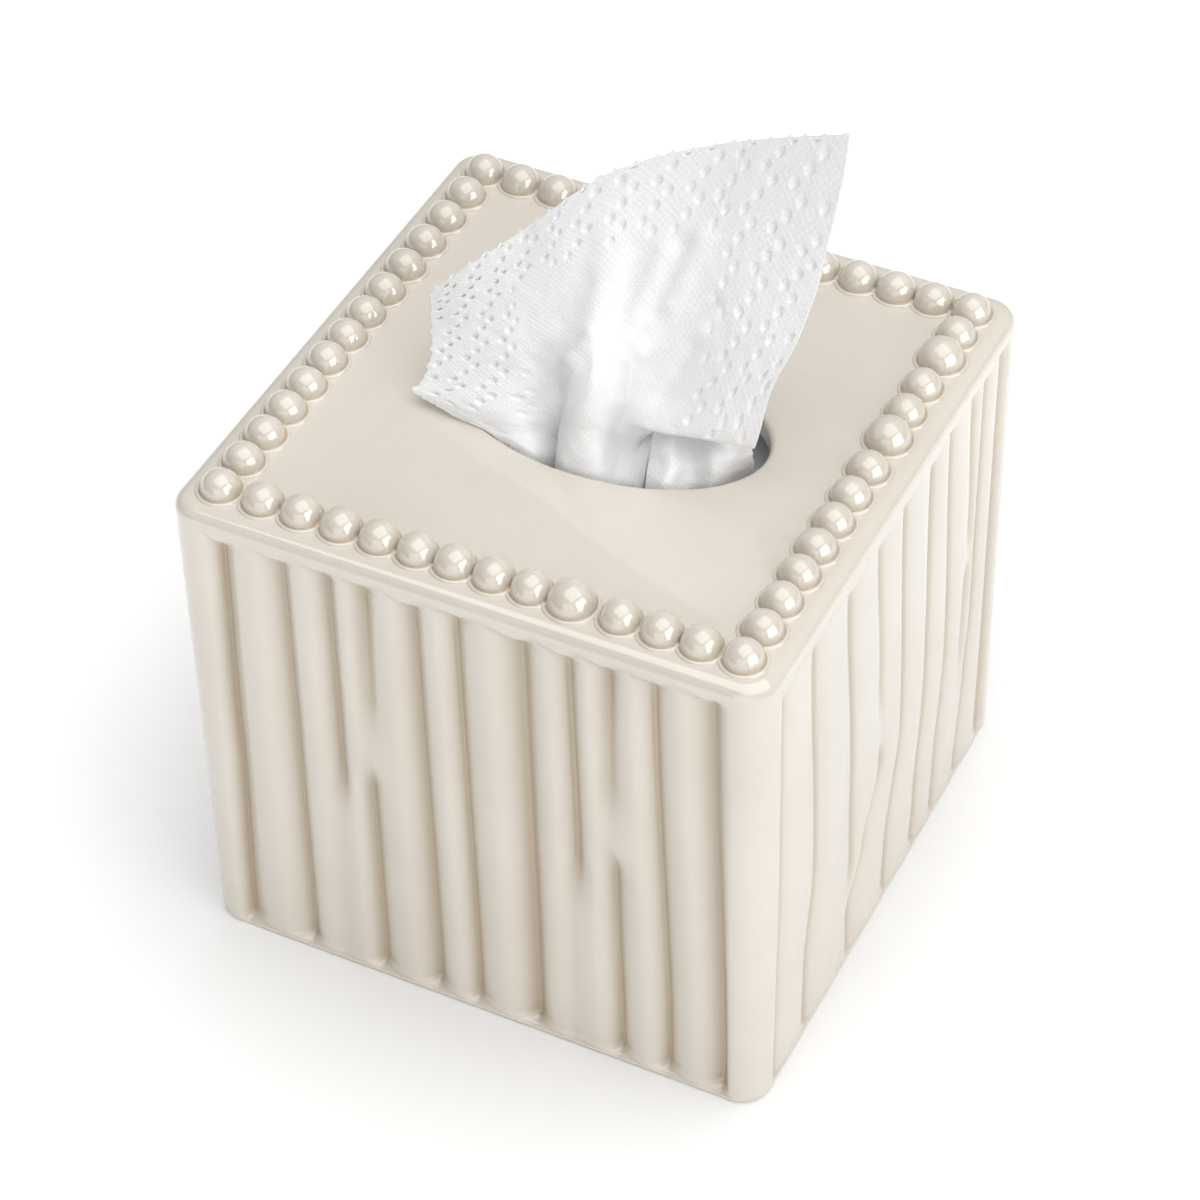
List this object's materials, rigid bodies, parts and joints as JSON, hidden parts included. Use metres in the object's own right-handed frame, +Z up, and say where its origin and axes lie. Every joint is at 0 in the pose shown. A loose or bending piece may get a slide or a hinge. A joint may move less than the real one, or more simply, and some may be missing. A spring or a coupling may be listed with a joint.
{
  "type": "tissue box cover",
  "caption": "Square glazed ceramic tissue box cover with carved ribs, a beaded top border and an oval opening, over a cube carton with a sheet standing out of it.",
  "frame": {"origin": "middle of the square footprint, on the table", "axes": "+Z up, -Y towards the front face, +X to the right of it"},
  "size_m": [0.146, 0.146, 0.2197],
  "materials": {
    "glaze": "gloss",
    "board": "matte",
    "film": "gloss",
    "stack": "matte",
    "paper": "matte"
  },
  "bodies": {
    "carton": {"tissue_carton": "board", "carton_film": "film", "tissue_stack": "stack", "next_tissue": "paper"},
    "cover": {"shell_top": "glaze", "shell_front": "glaze", "shell_right": "glaze", "shell_back": "glaze", "shell_left": "glaze", "bead_row_front": "glaze", "bead_row_right": "glaze", "bead_row_back": "glaze", "bead_row_left": "glaze"},
    "tissue": {"raised_tissue": "paper"}
  },
  "joints": [
    {"name": "cover_lift", "type": "slide", "parent": "carton", "child": "cover", "axis": [0, 0, 1], "range_m": [0, 0.15]},
    {"name": "tissue_pull", "type": "slide", "parent": "cover", "child": "tissue", "axis": [0, 0, 1], "range_m": [0, 0.08]}
  ]
}
